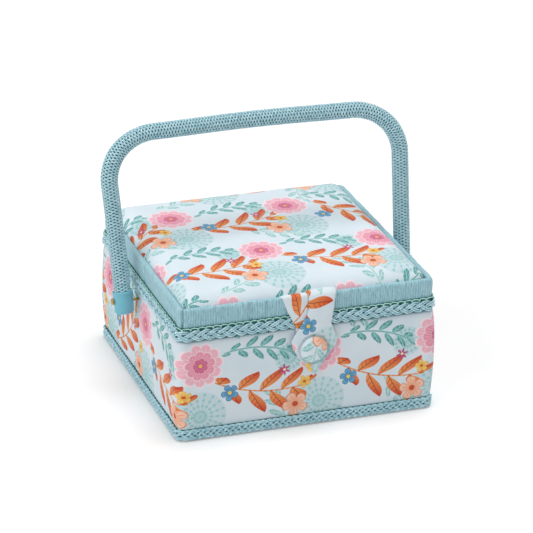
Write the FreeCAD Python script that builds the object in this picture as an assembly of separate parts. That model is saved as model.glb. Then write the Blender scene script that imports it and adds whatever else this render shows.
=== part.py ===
"""Sewing box covered in printed cloth.

Padded walls and a padded hinged lid, plaited trims round the foot and the lid, a bail handle on two
rivets, and a cloth loop that buttons on the front. Origin at the middle of the underside, front at -Y.
"""
import FreeCAD, Part
import math
import os

from FreeCAD import Vector

# Driving dimensions, mm and degrees
box_width = 200.0
box_depth = 200.0
seam_height = 81.0
corner_radius = 7.0
cloth = 0.6
fit_gap = 0.3

# Padded box
wall_board = 3.0
base_board = 3.0
wall_wadding = 2.4
wall_swell = 2.2
swell_rise = 5.0
swell_stop_below_seam = 10.0
floor_pad_height = 3.0

# Plaited trims
braid_height = 10.0
braid_depth = 2.6
braid_lift = 0.4
braid_bevel = 1.5

# Lid
lid_height = 25.5
rim_board = 3.0
lid_board = 3.0
ridge_rise = 4.0
pillow_skirt = 3.0
pillow_shoulder = 9.0
pillow_crown = 2.6
pillow_corner = 6.0
lid_pad_height = 2.0
ribbon_bevel = 0.5

# Cloth hinge along the back
hinge_cloth_thickness = 0.4
hinge_cloth_reach = 9.0
hinge_cloth_margin = 15.0

# Loop and covered button
closure_x = 3.0
loop_thickness = 1.6
loop_root_half = 21.3
loop_waist_half = 13.6
loop_tab_half = 18.2
loop_chin_half = 17.0
loop_tab_drop = 9.5
loop_chin_drop = 14.5
loop_tip_drop = 38.8
loop_slit_length = 26.0
loop_hem = 6.4
button_drop = 16.5
button_radius = 10.4
button_dome = 5.6
button_back_plate = 0.8
button_padding = 3.2
button_crown_radius = 7.0
button_steps = 3
shank_radius = 2.0

# Bail handle
pivot_drop = 6.4
pivot_reach = 14.0
handle_height = 129.5
handle_lean = 13.0
leg_splay = 2.0
bend_radius = 42.0
bend_steps = 5
sleeve_radius = 6.2
core_radius = 4.0
ferrule_rim_radius = 8.0
ferrule_foot_radius = 7.5
ferrule_above_pin = 7.6
ferrule_below_pin = 9.8
ferrule_socket = 3.0
ferrule_bevel = 1.6
core_below_pin = 4.0
sliding_fit = 0.1

# Rivets that the handle turns on
pin_radius = 1.2
pin_fit = 0.05
rivet_head_radius = 2.6
rivet_head_height = 1.4
rivet_steps = 2
peened_radius = 2.2
washer_radius = 5.0
washer_thickness = 0.8

# Heights and half sizes that follow from them
half_x = box_width / 2
half_y = box_depth / 2
base_top = cloth + base_board
wall_top = seam_height - cloth
ridge = seam_height + lid_height
lid_board_top = ridge - ridge_rise
braid_top = braid_lift + braid_height
swell_bottom = braid_top + fit_gap
swell_top = seam_height - swell_stop_below_seam
board_inset = cloth + wall_wadding
lining_inset = board_inset + wall_board
room_inset = lining_inset + cloth
ribbon_inset = cloth + rim_board + cloth
braid_reach = hinge_cloth_thickness + braid_depth
pivot_height = seam_height - pivot_drop
pivot_x = half_x + pivot_reach
button_height = seam_height - button_drop


def corner(inset):
    """Corner radius of a layer that lies so far inside the outer face."""
    return max(corner_radius - inset, cloth / 2)


def rounded_wire(inset, z):
    """Rounded rectangle, so far inside the outer face, at one height."""
    hx = half_x - inset
    hy = half_y - inset
    r = corner(inset)
    c = r * (1 - math.sqrt(0.5))
    edges = []
    for sx, sy in ((1, -1), (1, 1), (-1, 1), (-1, -1)):
        first = Vector(sx * (hx - r), sy * hy, z)
        middle = Vector(sx * (hx - c), sy * (hy - c), z)
        last = Vector(sx * hx, sy * (hy - r), z)
        ends = (first, last) if sx * sy < 0 else (last, first)
        if edges:
            edges.append(Part.LineSegment(edges[-1].EndPoint, ends[0]))
        edges.append(Part.Arc(ends[0], middle, ends[1]))
    edges.append(Part.LineSegment(edges[-1].EndPoint, edges[0].StartPoint))
    return Part.Wire([edge.toShape() for edge in edges])


def slab(inset, bottom, top):
    """Upright block with rounded corners."""
    return Part.Face(rounded_wire(inset, bottom)).extrude(Vector(0, 0, top - bottom))


def block(x0, x1, y0, y1, z0, z1):
    """Plain box from its limits."""
    return Part.makeBox(x1 - x0, y1 - y0, z1 - z0, Vector(x0, y0, z0))


def padded_line(depth, bottom, top):
    """Points up a padded wall, so deep under its face: X out from the board, then the height."""
    flat = board_inset - depth
    full = flat + wall_swell
    return [(flat, bottom), (flat, swell_bottom), (full, swell_bottom + swell_rise),
            (full, swell_top - swell_rise), (flat, swell_top), (flat, top)]


def upright(x, z):
    """Point of a cross-section that stands in the X-Z plane."""
    return Vector(x, 0, z)


def polygon(points, plane_point):
    """Face from corner points given as pairs."""
    corners = [plane_point(*pair) for pair in points]
    return Part.Face(Part.makePolygon(corners + corners[:1]))


def band(inset, points, r):
    """One cross-section, run along four sides and turned round four corners of radius r.

    The points are X, outward from the layer that lies inset, and the height.
    """
    profile = polygon(points, upright)
    hx = half_x - inset
    hy = half_y - inset
    up = Vector(0, 0, 1)
    pieces = []
    for turn, side, end in ((0, hx, hy), (90, hy, hx), (180, hx, hy), (270, hy, hx)):
        straight = profile.copy()
        straight.translate(Vector(side, -(end - r), 0))
        straight = straight.extrude(Vector(0, 2 * (end - r), 0))
        bend = profile.copy()
        bend.translate(Vector(side, end - r, 0))
        bend = bend.revolve(Vector(side - r, end - r, 0), up, 90)
        for piece in (straight, bend):
            piece.rotate(Vector(), up, turn)
            pieces.append(piece)
    return pieces[0].fuse(pieces[1:]).removeSplitter()


def arched(half, length, skirt, turn):
    """Long pad with upright sides, round shoulders and an arched top, turned about the middle."""
    shoulder_top = skirt + pillow_shoulder
    flat_half = half - pillow_shoulder
    round_off = pillow_shoulder * math.sqrt(0.5)
    points = [upright(-half, lid_board_top), upright(-half, skirt),
              upright(-flat_half - round_off, skirt + round_off), upright(-flat_half, shoulder_top),
              upright(0, shoulder_top + pillow_crown), upright(flat_half, shoulder_top),
              upright(flat_half + round_off, skirt + round_off), upright(half, skirt),
              upright(half, lid_board_top)]
    edges = [Part.LineSegment(points[0], points[1])]
    edges += [Part.Arc(*points[first:first + 3]) for first in (1, 3, 5)]
    edges += [Part.LineSegment(points[7], points[8]), Part.LineSegment(points[8], points[0])]
    pad = Part.Face(Part.Wire([edge.toShape() for edge in edges]))
    pad.translate(Vector(0, -length / 2, 0))
    pad = pad.extrude(Vector(0, length, 0))
    pad.rotate(Vector(), Vector(0, 0, 1), turn)
    return pad


def pillow(inset):
    """Crowned pad on the lid's board: two arched pads crossed, with its corners rounded."""
    skirt = lid_board_top + pillow_skirt - inset
    side = ribbon_inset + fit_gap + inset
    hx = half_x - side
    hy = half_y - side
    plan = block(-hx, hx, -hy, hy, lid_board_top, skirt + pillow_shoulder + 2 * pillow_crown)
    uprights = [edge for edge in plan.Edges if edge.tangentAt(0).z ** 2 > 0.5]
    plan = plan.makeFillet(pillow_corner, uprights)
    return arched(hx, 2 * hy, skirt, 0).common(arched(hy, 2 * hx, skirt, 90)).common(plan)


def rod(radius, start, end):
    """Round bar between two points."""
    run = end - start
    return Part.makeCylinder(radius, run.Length, start, run)


def cap(radius, height, base, outward, steps):
    """Shallow dome in a few steps, standing on a flat round base."""
    ball_radius = (radius ** 2 + height ** 2) / (2 * height)
    rim_angle = math.asin(radius / ball_radius)
    section = [(0, 0)]
    for step in range(steps):
        angle = rim_angle * (1 - step / steps)
        section.append((ball_radius * math.sin(angle), height - ball_radius * (1 - math.cos(angle))))
    section.append((0, section[-1][1]))
    dome = polygon(section, upright).revolve(Vector(), Vector(0, 0, 1), 360)
    dome.Placement = FreeCAD.Placement(base, FreeCAD.Rotation(Vector(0, 0, 1), outward))
    return dome


def save(name, shape):
    """Write one piece under its node's name."""
    shape.exportStep(os.path.join("parts", name + ".step"))


os.makedirs("parts", exist_ok=True)

# Underside and boards
save("base_cloth", slab(fit_gap, 0, cloth))
save("base_board", slab(board_inset, cloth, base_top))

wall_ring = slab(board_inset, base_top, wall_top)
room = block(-half_x + lining_inset, half_x - lining_inset, -half_y + lining_inset, half_y - lining_inset,
             base_top, wall_top)
wall_ring = wall_ring.cut(room)
far = box_width + box_depth
inner_y = half_y - lining_inset
pin_line = Vector(far, 0, 0)
pin_centre = Vector(0, 0, pivot_height)
pin_hole = rod(pin_radius + pin_fit, pin_centre - pin_line, pin_centre + pin_line)
slit_half = pin_radius + fit_gap
pin_slit = block(-far, far, -slit_half, slit_half, pivot_height - slit_half, pivot_height + slit_half)

front_half = block(-far, far, -far, -inner_y, 0, far)
back_half = block(-far, far, inner_y, far, 0, far)
side_walls = wall_ring.cut([front_half, back_half, pin_hole])
save("front_wall", wall_ring.common(front_half))
save("back_wall", wall_ring.common(back_half))
save("left_wall", side_walls.common(block(-far, 0, -far, far, 0, far)))
save("right_wall", side_walls.common(block(0, far, -far, far, 0, far)))

# Wadding glued on each wall, mitred at the corners
shank_half = shank_radius + fit_gap
shank_slit = block(closure_x - shank_half, closure_x + shank_half, -far, 0,
                   button_height - shank_half, button_height + shank_half)
padded_face = padded_line(cloth, base_top, wall_top)
padding = band(board_inset, [(0, base_top)] + padded_face + [(0, wall_top)], corner(board_inset))
padding = padding.cut([pin_slit, shank_slit])
out = wall_swell + wall_wadding
deep = lining_inset + wall_wadding
side_views = {
    "front": [(-half_x - out, -half_y - out), (half_x + out, -half_y - out),
              (half_x - deep, -half_y + deep), (-half_x + deep, -half_y + deep)],
    "left": [(-half_x - out, -half_y - out), (-half_x + deep, -half_y + deep),
             (-half_x + deep, half_y - deep), (-half_x - out, half_y + out)],
}
for name, opposite in (("front", "back"), ("left", "right")):
    wedge = polygon(side_views[name], lambda x, y: Vector(x, y, 0)).extrude(Vector(0, 0, seam_height))
    save(name + "_wadding", padding.common(wedge))
    wedge.rotate(Vector(), Vector(0, 0, 1), 180)
    save(opposite + "_wadding", padding.common(wedge))

# Printed cloth round the walls, turned in over their top edge
cover_section = padded_line(0, cloth, wall_top) + padded_line(cloth, cloth, wall_top)[::-1]
wall_cover = band(board_inset, cover_section, corner(board_inset)).fuse(slab(0, wall_top, seam_height))
room_mouth = block(-half_x + room_inset, half_x - room_inset, -half_y + room_inset, half_y - room_inset,
                   0, seam_height)
save("wall_cover", wall_cover.cut([room_mouth, pin_slit, shank_slit]).removeSplitter())

# Lining and the padded floor
save("wall_lining", room.cut([room_mouth, pin_slit]))
floor_inset = room_inset + fit_gap
floor_x = half_x - floor_inset
floor_y = half_y - floor_inset
save("floor_pad", block(-floor_x, floor_x, -floor_y, floor_y, base_top, base_top + floor_pad_height))


def braid(bottom):
    """Flat plait: two raised rows with a furrow between them."""
    shape = [(hinge_cloth_thickness, bottom)]
    for row in range(2):
        low = bottom + row * braid_height / 2
        high = low + braid_height / 2
        shape += [(braid_reach - braid_bevel, low), (braid_reach, (low + high) / 2)]
    shape += [(braid_reach - braid_bevel, high), (hinge_cloth_thickness, high)]
    return band(0, shape, corner_radius)


save("base_braid", braid(braid_lift))

# Lid: rim strips, top board, ribbon over the rim and trim round its lower edge
rim_inner = cloth + rim_board
rim_ring = slab(cloth, seam_height, ridge - cloth).cut(slab(rim_inner, seam_height, ridge - cloth))
lid_inner_y = half_y - rim_inner - corner(rim_inner)
front_strip = block(-far, far, -far, -lid_inner_y, 0, far)
back_strip = block(-far, far, lid_inner_y, far, 0, far)
side_strips = rim_ring.cut([front_strip, back_strip])
save("lid_front_rim", rim_ring.common(front_strip))
save("lid_back_rim", rim_ring.common(back_strip))
save("lid_left_rim", side_strips.common(block(-far, 0, -far, far, 0, far)))
save("lid_right_rim", side_strips.common(block(0, far, -far, far, 0, far)))
save("lid_board", slab(rim_inner, lid_board_top - lid_board, lid_board_top))

over = ribbon_inset
ribbon_section = [(0, lid_board_top), (0, ridge), (over - ribbon_bevel, ridge), (over, ridge - ribbon_bevel),
                  (over, seam_height), (over - cloth, seam_height), (over - cloth, ridge - cloth),
                  (cloth, ridge - cloth), (cloth, lid_board_top)]
save("lid_ribbon", band(ribbon_inset, ribbon_section, corner(ribbon_inset)))
save("lid_braid", braid(seam_height))

# Lid pad and the printed cloth drawn over it
pad = pillow(cloth)
save("lid_wadding", pad)
save("lid_cover", pillow(0).cut(pad))

# Lid lining: a padded panel and a strip round the inside of the rim
lid_lining_top = lid_board_top - lid_board
rim_lining = slab(rim_inner, seam_height, lid_lining_top).cut(slab(ribbon_inset, seam_height, lid_lining_top))
save("lid_rim_lining", rim_lining)
save("lid_lining", slab(ribbon_inset + fit_gap, lid_lining_top - lid_pad_height, lid_lining_top))

# Cloth hinge: glued to the back of the box below the seam and under the lid's trim above it
hinge_half = half_x - hinge_cloth_margin
save("hinge_cloth", block(-hinge_half, hinge_half, half_y, half_y + hinge_cloth_thickness,
                          seam_height - hinge_cloth_reach, seam_height + hinge_cloth_reach))

# Cloth loop: sewn on the lid's ridge, drawn in at the trim, widening to a pointed tab with a slit
trim_face = half_y + braid_reach + fit_gap
front_face = trim_face + loop_thickness
sewn_end = half_y - ribbon_inset
trim_shoulder = seam_height + braid_height + loop_thickness
tip = seam_height - loop_tip_drop
lie = ridge + fit_gap
side_view = [(-sewn_end, lie), (-half_y - fit_gap, lie), (-trim_face, trim_shoulder), (-trim_face, tip),
             (-front_face, tip), (-front_face, trim_shoulder + fit_gap),
             (-half_y - fit_gap - loop_thickness, lie + loop_thickness), (-sewn_end, lie + loop_thickness)]
bent_sheet = polygon(side_view, lambda y, z: Vector(-far, y, z)).extrude(Vector(2 * far, 0, 0))
outline = [(loop_root_half, ridge + 2 * loop_thickness), (loop_waist_half, seam_height),
           (loop_tab_half, seam_height - loop_tab_drop), (loop_chin_half, seam_height - loop_chin_drop)]
outline += [(0, tip)] + [(-x, z) for x, z in reversed(outline)]
front_view = polygon(outline, lambda x, z: Vector(closure_x + x, -far, z)).extrude(Vector(0, 2 * far, 0))
slit = block(closure_x - shank_half, closure_x + shank_half, -far, -half_y,
             button_height - loop_slit_length / 2, button_height + loop_slit_length / 2)
slit = slit.common(block(-far, far, -far, far, tip + loop_hem, seam_height))
save("button_loop", bent_sheet.common(front_view).cut(slit))

# Covered button: shank and back plate, shell, and the cloth over the shell
back_y = -front_face - fit_gap
plate_y = back_y - button_back_plate
inwards = Vector(0, 1, 0)
button_seat = Vector(closure_x, plate_y, button_height)
plate = Part.makeCylinder(button_radius - cloth, button_back_plate, button_seat, inwards)
board_face = Vector(closure_x, -half_y + board_inset, button_height)
shank = rod(shank_radius, board_face, Vector(closure_x, back_y, button_height))
save("button_shank", plate.fuse(shank).removeSplitter())

shell = Part.makeCone(button_radius - cloth, button_crown_radius, button_dome - button_padding,
                      button_seat, -inwards)
save("button_shell", shell)
save("button_cover", cap(button_radius, button_dome, button_seat, -inwards, button_steps).cut(shell))

# Rivets through the side walls, with a washer and a peened end inside
rivet_tip = half_x - room_inset - washer_thickness
ferrule_face = pivot_x + ferrule_rim_radius + fit_gap
rivets = []
washers = []
for sign in (-1, 1):
    along = Vector(sign, 0, 0)
    pin = rod(pin_radius, pin_centre + along * rivet_tip, pin_centre + along * ferrule_face)
    head = cap(rivet_head_radius, rivet_head_height, pin_centre + along * ferrule_face, along, rivet_steps)
    inner_end = pin_centre + along * rivet_tip
    peened = rod(peened_radius, inner_end - along * washer_thickness, inner_end)
    rivets.append(pin.fuse([head, peened]).removeSplitter())
    ring = rod(washer_radius, inner_end, inner_end + along * washer_thickness)
    washers.append(ring.cut(pin_hole))
save("handle_rivets", Part.makeCompound(rivets))
save("rivet_washers", Part.makeCompound(washers))

# Handle centre line: two splayed legs, two bends and the bar, upright over the pivots
splay = math.radians(leg_splay)
leg_length = (handle_height - bend_radius * (1 + math.sin(splay))) / math.cos(splay)


def leg_point(sign, along):
    """Point on a leg's axis, so far up from its rivet."""
    return Vector(sign * (pivot_x + along * math.sin(splay)), 0, pivot_height + along * math.cos(splay))


def handle_bar(radius, start):
    """Round bar along both legs, both bends and the grip, from so far up each leg."""
    pieces = []
    crests = []
    for sign in (-1, 1):
        low = leg_point(sign, start)
        knee = leg_point(sign, leg_length)
        pieces.append(rod(radius, low, knee))
        centre = knee + Vector(-sign * math.cos(splay), 0, math.sin(splay)) * bend_radius
        section = Part.Wire(Part.makeCircle(radius, knee, knee - low))
        rings = []
        for step in range(bend_steps + 1):
            ring = section.copy()
            ring.rotate(centre, Vector(0, 1, 0), -sign * (90 + leg_splay) * step / bend_steps)
            rings.append(ring)
        pieces.append(Part.makeLoft(rings, True, True))
        crests.append(centre + Vector(0, 0, bend_radius))
    pieces.append(rod(radius, crests[0], crests[1]))
    return pieces[0].fuse(pieces[1:]).removeSplitter()


def lean(shape):
    """Tip the handle back from upright to the way it stands."""
    shape.rotate(pin_centre, Vector(1, 0, 0), -handle_lean)
    return shape


sleeve_start = ferrule_above_pin - ferrule_socket
core = handle_bar(core_radius, -core_below_pin)
save("handle_core", lean(core.cut(pin_hole)))
bore = handle_bar(core_radius + sliding_fit, sleeve_start)
save("handle_sleeve", lean(handle_bar(sleeve_radius, sleeve_start).cut(bore)))

# Moulded ferrules that cap the legs
ferrule_view = [(0, -ferrule_below_pin), (ferrule_foot_radius - ferrule_bevel, -ferrule_below_pin),
                (ferrule_foot_radius, -ferrule_below_pin + ferrule_bevel),
                (ferrule_foot_radius, sleeve_start), (ferrule_rim_radius, ferrule_above_pin),
                (sleeve_radius + sliding_fit, ferrule_above_pin), (sleeve_radius + sliding_fit, sleeve_start),
                (core_radius + sliding_fit, sleeve_start), (core_radius + sliding_fit, -core_below_pin),
                (0, -core_below_pin)]
ferrules = []
for sign in (-1, 1):
    ferrule = polygon(ferrule_view, upright).revolve(Vector(), Vector(0, 0, 1), 360)
    ferrule.rotate(Vector(), Vector(0, 1, 0), sign * leg_splay)
    ferrule.translate(leg_point(sign, 0))
    ferrules.append(lean(ferrule.cut(pin_hole)))
save("handle_ferrules", Part.makeCompound(ferrules))
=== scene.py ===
import math

import bmesh
import bpy
import numpy as np
from mathutils import Matrix, Vector, noise


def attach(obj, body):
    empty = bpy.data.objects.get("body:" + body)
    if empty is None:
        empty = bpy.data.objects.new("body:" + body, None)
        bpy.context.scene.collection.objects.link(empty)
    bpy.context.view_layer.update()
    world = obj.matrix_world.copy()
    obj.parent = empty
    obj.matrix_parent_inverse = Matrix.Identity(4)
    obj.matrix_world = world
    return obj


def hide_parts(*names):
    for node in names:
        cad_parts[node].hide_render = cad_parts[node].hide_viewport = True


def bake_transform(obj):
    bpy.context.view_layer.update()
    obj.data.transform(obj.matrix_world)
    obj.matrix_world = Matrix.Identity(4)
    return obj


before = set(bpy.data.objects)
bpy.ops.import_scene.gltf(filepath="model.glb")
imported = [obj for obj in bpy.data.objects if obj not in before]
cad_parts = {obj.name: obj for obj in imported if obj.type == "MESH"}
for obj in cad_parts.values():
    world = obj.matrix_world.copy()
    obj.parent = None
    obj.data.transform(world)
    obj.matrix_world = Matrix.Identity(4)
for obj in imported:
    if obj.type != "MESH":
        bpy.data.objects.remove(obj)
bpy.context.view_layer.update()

MM = 0.001
SHARP_EDGE = math.radians(50)
ONE_BAND = 0.314  # scale at which a wave texture draws one band to each unit


# Tools that the sections below share, for colours, shader nodes, cloth layouts and solids of the CAD model.
def colour(code):
    """sRGB hex code as the linear values that a socket takes."""
    parts = [int(code[i:i + 2], 16) / 255 for i in (1, 3, 5)]
    return [c / 12.92 if c <= 0.04045 else ((c + 0.055) / 1.055) ** 2.4 for c in parts] + [1.0]


def add(tree, kind, links=None, **settings):
    """Add a node with its settings. links gives each input a value or a socket. Returns the first output."""
    node = tree.nodes.new("ShaderNode" + kind)
    for name, value in settings.items():
        setattr(node, name, value)
    for name, value in (links or {}).items():
        if isinstance(value, bpy.types.NodeSocket):
            tree.links.new(value, node.inputs[name])
        else:
            node.inputs[name].default_value = value
    return node.outputs[0]


def maths(tree, operation, *values, **settings):
    """Math node on up to three values or sockets."""
    return add(tree, "Math", dict(enumerate(values)), operation=operation, **settings)


def ramp(tree, value, low, high, top=1.0):
    """A value turned into a run from 0 at low to top at high, and held beyond them."""
    return add(tree, "MapRange", {"Value": value, "From Min": low, "From Max": high, "To Max": top})


def mix(tree, share, first, second):
    """Colour between two others, each a hex code or a socket, at a share from 0 to 1."""
    ends = [colour(end) if isinstance(end, str) else end for end in (first, second)]
    node = add(tree, "Mix", {0: share, 6: ends[0], 7: ends[1]}, data_type="RGBA").node
    return node.outputs[2]


def finish_of(name, links):
    """New material of one Principled shader with these socket values. Returns it, its tree and shader."""
    made = bpy.data.materials.new(name)
    made.use_nodes = True
    shader = made.node_tree.nodes["Principled BSDF"]
    for socket, value in links.items():
        shader.inputs[socket].default_value = value
    return made, made.node_tree, shader


def mottle(tree, shader, scale, detail, first, second):
    """Base colour that drifts between two by a noise in the piece's own space. Returns noise and space."""
    place = add(tree, "TexCoord").node.outputs["Object"]
    drift = add(tree, "TexNoise", {"Vector": place, "Scale": scale, "Detail": detail})
    tree.links.new(mix(tree, drift, first, second), shader.inputs["Base Color"])
    return drift, place


def roughen(tree, shader, height, strength, depth):
    """Bump the surface by a height, to that depth in metres."""
    bump = add(tree, "Bump", {"Height": height, "Strength": strength, "Distance": depth})
    tree.links.new(bump, shader.inputs["Normal"])


def dress(node_names, material):
    """Give these solids of the CAD model one material."""
    for node_name in node_names:
        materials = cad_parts[node_name].data.materials
        materials.clear()
        materials.append(material)


def lay_flat(bm, spot, faces=None):
    """Set where each corner lies on the uncut cloth, in millimetres. spot gives it for a vertex."""
    flat = bm.loops.layers.uv.get("flat") or bm.loops.layers.uv.new("flat")
    for face in faces or bm.faces:
        for loop in face.loops:
            loop[flat].uv = spot(loop.vert)


# Boards: the base, the four walls, the lid's rim strips and its top are cut from 3 mm grey board,
# pressed from waste paper, dull and flecked with its fibres. The cloth hides nearly all of them.
grey_board, tree, shader = finish_of("pressed_grey_board", {"Roughness": 0.9})
fibres, _ = mottle(tree, shader, 450.0, 5.0, "#8E8A82", "#B7B2A8")
roughen(tree, shader, fibres, 0.3, 0.0004)
dress(("base_board", "front_wall", "back_wall", "left_wall", "right_wall", "lid_board"), grey_board)
dress(("lid_front_rim", "lid_back_rim", "lid_left_rim", "lid_right_rim"), grey_board)


# Padded walls: printed cotton drawn over polyester wadding on each wall, from under the base,
# up the outside and over the top edge, with its ends joined at the back left corner.
half = 100.0
corner = 5.0
seam_height = 81.0
straight = 2 * (half - corner)
arc = corner * math.pi / 2
quarter = straight + arc
girth = 4 * quarter


def around(along, out):
    """Plan position so far round the box from the back left corner, and so far out from its side."""
    along = np.asarray(along, float)
    turn = np.floor(along / quarter)
    run = along - turn * quarter
    bend = np.clip((run - straight) / arc, 0, 1) * math.pi / 2
    x = -(half - corner) - (corner + out) * np.cos(bend)
    y = (half - corner) - np.minimum(run, straight) - (corner + out) * np.sin(bend)
    c = np.cos(turn * math.pi / 2)
    s = np.sin(turn * math.pi / 2)
    return x * c - y * s, x * s + y * c


def band(profile, side_steps, corner_steps, shape=None):
    """Closed band round the box from a closed cross-section of (out, height) points.

    shape, where given, takes a point's run along the band, its out and its height, and returns the last two.
    """
    bm = bmesh.new()
    steps = side_steps + corner_steps
    columns = 4 * steps
    rows = len(profile)
    bmesh.ops.create_grid(bm, x_segments=columns, y_segments=rows, size=0.5)
    lengths = [math.dist(profile[i - 1], profile[i % rows]) for i in range(1, rows + 1)]
    across = np.concatenate([[0], np.cumsum(lengths)])
    laid = {}
    for vert in bm.verts:
        column = round((vert.co.x + 0.5) * columns)
        row = round((vert.co.y + 0.5) * rows)
        turn, step = divmod(column, steps)
        run = straight * min(step / side_steps, 1) + arc * max(step - side_steps, 0) / corner_steps
        laid[vert] = (turn * quarter + run, across[row], profile[row % rows])
    lay_flat(bm, lambda vert: laid[vert][:2])
    for vert, (along, _, point) in laid.items():
        along = along % girth
        out, height = shape(along, *point) if shape else point
        x, y = around(along, out)
        vert.co = (x, y, height)
    bmesh.ops.remove_doubles(bm, verts=bm.verts, dist=0.001)
    bmesh.ops.recalc_face_normals(bm, faces=bm.faces)
    if bm.calc_volume(signed=True) < 0:
        bmesh.ops.reverse_faces(bm, faces=bm.faces)
    return bm


def piece_of(name, bm, material):
    """Object at the origin from a bmesh drawn in millimetres, smooth but for its sharp edges."""
    bmesh.ops.scale(bm, vec=(MM, MM, MM), verts=bm.verts)
    mesh = bpy.data.meshes.new(name)
    bm.to_mesh(mesh)
    bm.free()
    mesh.materials.append(material)
    mesh.shade_smooth()
    mesh.set_sharp_from_angle(angle=SHARP_EDGE)
    made = bpy.data.objects.new(name, mesh)
    bpy.context.scene.collection.objects.link(made)
    return made


wall_swell = 3.2
wall_foot = 0.6
wall_inner = -6.0
braid_cover = 8.0
top_lean = 0.5
side_hollow = 0.3
corner_bulge = 0.1
slack_depth = 0.35
crease_depth = 0.3
full_wall = 0.95
lower_hem = 10.0
upper_hem = 80.0
foot_fade = 12.0


def swell(height):
    """How far the padding stands out at a height, drawn in under the base braid and at the lid."""
    share = min(max((height - braid_cover) / (seam_height - braid_cover), 0.0), 1.0)
    return wall_swell * math.sin(math.pi * share) ** 0.4 + top_lean * share


def pad_wall(along, out, height):
    """Wadding fullest along the corners of the box, with soft hollows where the cloth was drawn."""
    if out < -0.5:
        return out, height
    run = along % quarter
    middle = math.sin(math.pi * min(run / straight, 1.0))
    edge = math.sin(math.pi * max(run - straight, 0.0) / arc)
    fullness = full_wall - side_hollow * math.sqrt(middle) + corner_bulge * edge
    slack = slack_depth * noise.noise(Vector((along / 34, height / 26, 1.7)))
    near_hem = math.exp(-((height - lower_hem) / 9) ** 2)
    near_hem += 0.7 * math.exp(-((height - upper_hem) / 8) ** 2)
    creases = crease_depth * near_hem * noise.noise(Vector((along / 7.5, height / 60, 8.2)))
    lift = swell(height) * fullness + slack + creases
    return out + lift * min(max(height / foot_fade, 0.0), 1.0), height


outer_rows = 30
wall_profile = [(wall_inner, seam_height - 1.0), (wall_inner, wall_foot)]
for row in range(outer_rows + 1):
    wall_profile.append((0.0, wall_foot + (seam_height - 1.4 - wall_foot) * row / outer_rows))
wall_profile += [(-0.5, seam_height - 0.6), (-1.4, seam_height - 0.2), (wall_inner + 0.9, seam_height - 0.2)]


def new_group(name, inputs, outputs):
    """Empty node group with these named sockets. Returns its tree, its input sockets and its end node."""
    tree = bpy.data.node_groups.new(name, "ShaderNodeTree")
    for socket, kind in inputs.items():
        tree.interface.new_socket(socket, in_out="INPUT", socket_type="NodeSocket" + kind)
    for socket, kind in outputs.items():
        tree.interface.new_socket(socket, in_out="OUTPUT", socket_type="NodeSocket" + kind)
    given = tree.nodes.new("NodeGroupInput").outputs
    return tree, given, tree.nodes.new("NodeGroupOutput")


# Half-drop repeat of the printing screens: one motif to each cell, turned by chance.
cell_width = 94.0
cell_height = 80.0
repeat, given, end = new_group(
    "half_drop_repeat", {"Point": "Vector", "Spread": "Float"}, {"Local": "Vector"}
)
point = add(repeat, "SeparateXYZ", {0: given["Point"]}).node.outputs
row = maths(repeat, "FLOOR", maths(repeat, "DIVIDE", point["Y"], cell_height))
odd = maths(repeat, "FLOORED_MODULO", row, 2.0)
shifted = maths(repeat, "MULTIPLY_ADD", odd, cell_width * 0.5, point["X"])
column = maths(repeat, "FLOOR", maths(repeat, "DIVIDE", shifted, cell_width))
local_x = maths(repeat, "MULTIPLY_ADD", column, -cell_width, shifted)
local_y = maths(repeat, "MULTIPLY_ADD", row, -cell_height, point["Y"])
local = add(repeat, "CombineXYZ", {0: local_x, 1: local_y})
centred = add(repeat, "VectorMath", {0: local, 1: (cell_width / 2, cell_height / 2, 0)}, operation="SUBTRACT")
cell = add(repeat, "CombineXYZ", {0: column, 1: row})
chance = add(repeat, "TexWhiteNoise", {"Vector": cell}, noise_dimensions="2D")
leaning = maths(repeat, "SUBTRACT", chance, 0.5)
angle = maths(repeat, "MULTIPLY", leaning, given["Spread"])
rotated = add(repeat, "VectorRotate", {"Vector": centred, "Angle": angle}, rotation_type="Z_AXIS")
repeat.links.new(rotated, end.inputs["Local"])

# Flat flower of so many petals: a heart, veins that fade along each petal, and a rim in the veins' colour.
flower, given, end = new_group(
    "printed_flower",
    {"Local": "Vector", "Radius": "Float", "Petals": "Float", "Core": "Float", "Fullness": "Float",
     "Point": "Float", "Petal": "Color", "Tip": "Color", "Vein": "Color", "Heart": "Color"},
    {"Colour": "Color", "Mask": "Float"},
)
at = add(flower, "SeparateXYZ", {0: given["Local"]}).node.outputs
radius = add(flower, "VectorMath", {0: given["Local"]}, operation="LENGTH").node.outputs["Value"]
angle = maths(flower, "ARCTAN2", at["Y"], at["X"])
count = maths(flower, "MULTIPLY", angle, given["Petals"])
share = maths(flower, "PINGPONG", count, math.pi)
side = maths(flower, "DIVIDE", share, math.pi)
bowed = maths(flower, "POWER", side, given["Fullness"])
inside = maths(flower, "SUBTRACT", 1.0, bowed)
outline = maths(flower, "POWER", inside, given["Point"])
petal_part = maths(flower, "SUBTRACT", 1.0, given["Core"])
reach = maths(flower, "MULTIPLY_ADD", outline, petal_part, given["Core"])
scaled = maths(flower, "DIVIDE", radius, given["Radius"])
rim = maths(flower, "DIVIDE", scaled, reach)
mask = ramp(flower, rim, 1.02, 0.97)
fade = ramp(flower, scaled, 0.15, 0.95)
ground = mix(flower, fade, given["Petal"], given["Tip"])
fine = maths(flower, "MULTIPLY", count, 3.0)
ray = maths(flower, "PINGPONG", fine, math.pi)
line = ramp(flower, ray, 0.75, 0.35)
short = ramp(flower, rim, 0.82, 0.7)
edge = ramp(flower, rim, 0.88, 0.94)
veined = maths(flower, "MULTIPLY_ADD", line, short, edge, use_clamp=True)
drawn = mix(flower, veined, ground, given["Vein"])
eye = ramp(flower, scaled, 0.24, 0.2)
hearted = mix(flower, eye, drawn, given["Heart"])
flower.links.new(hearted, end.inputs["Colour"])
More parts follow.
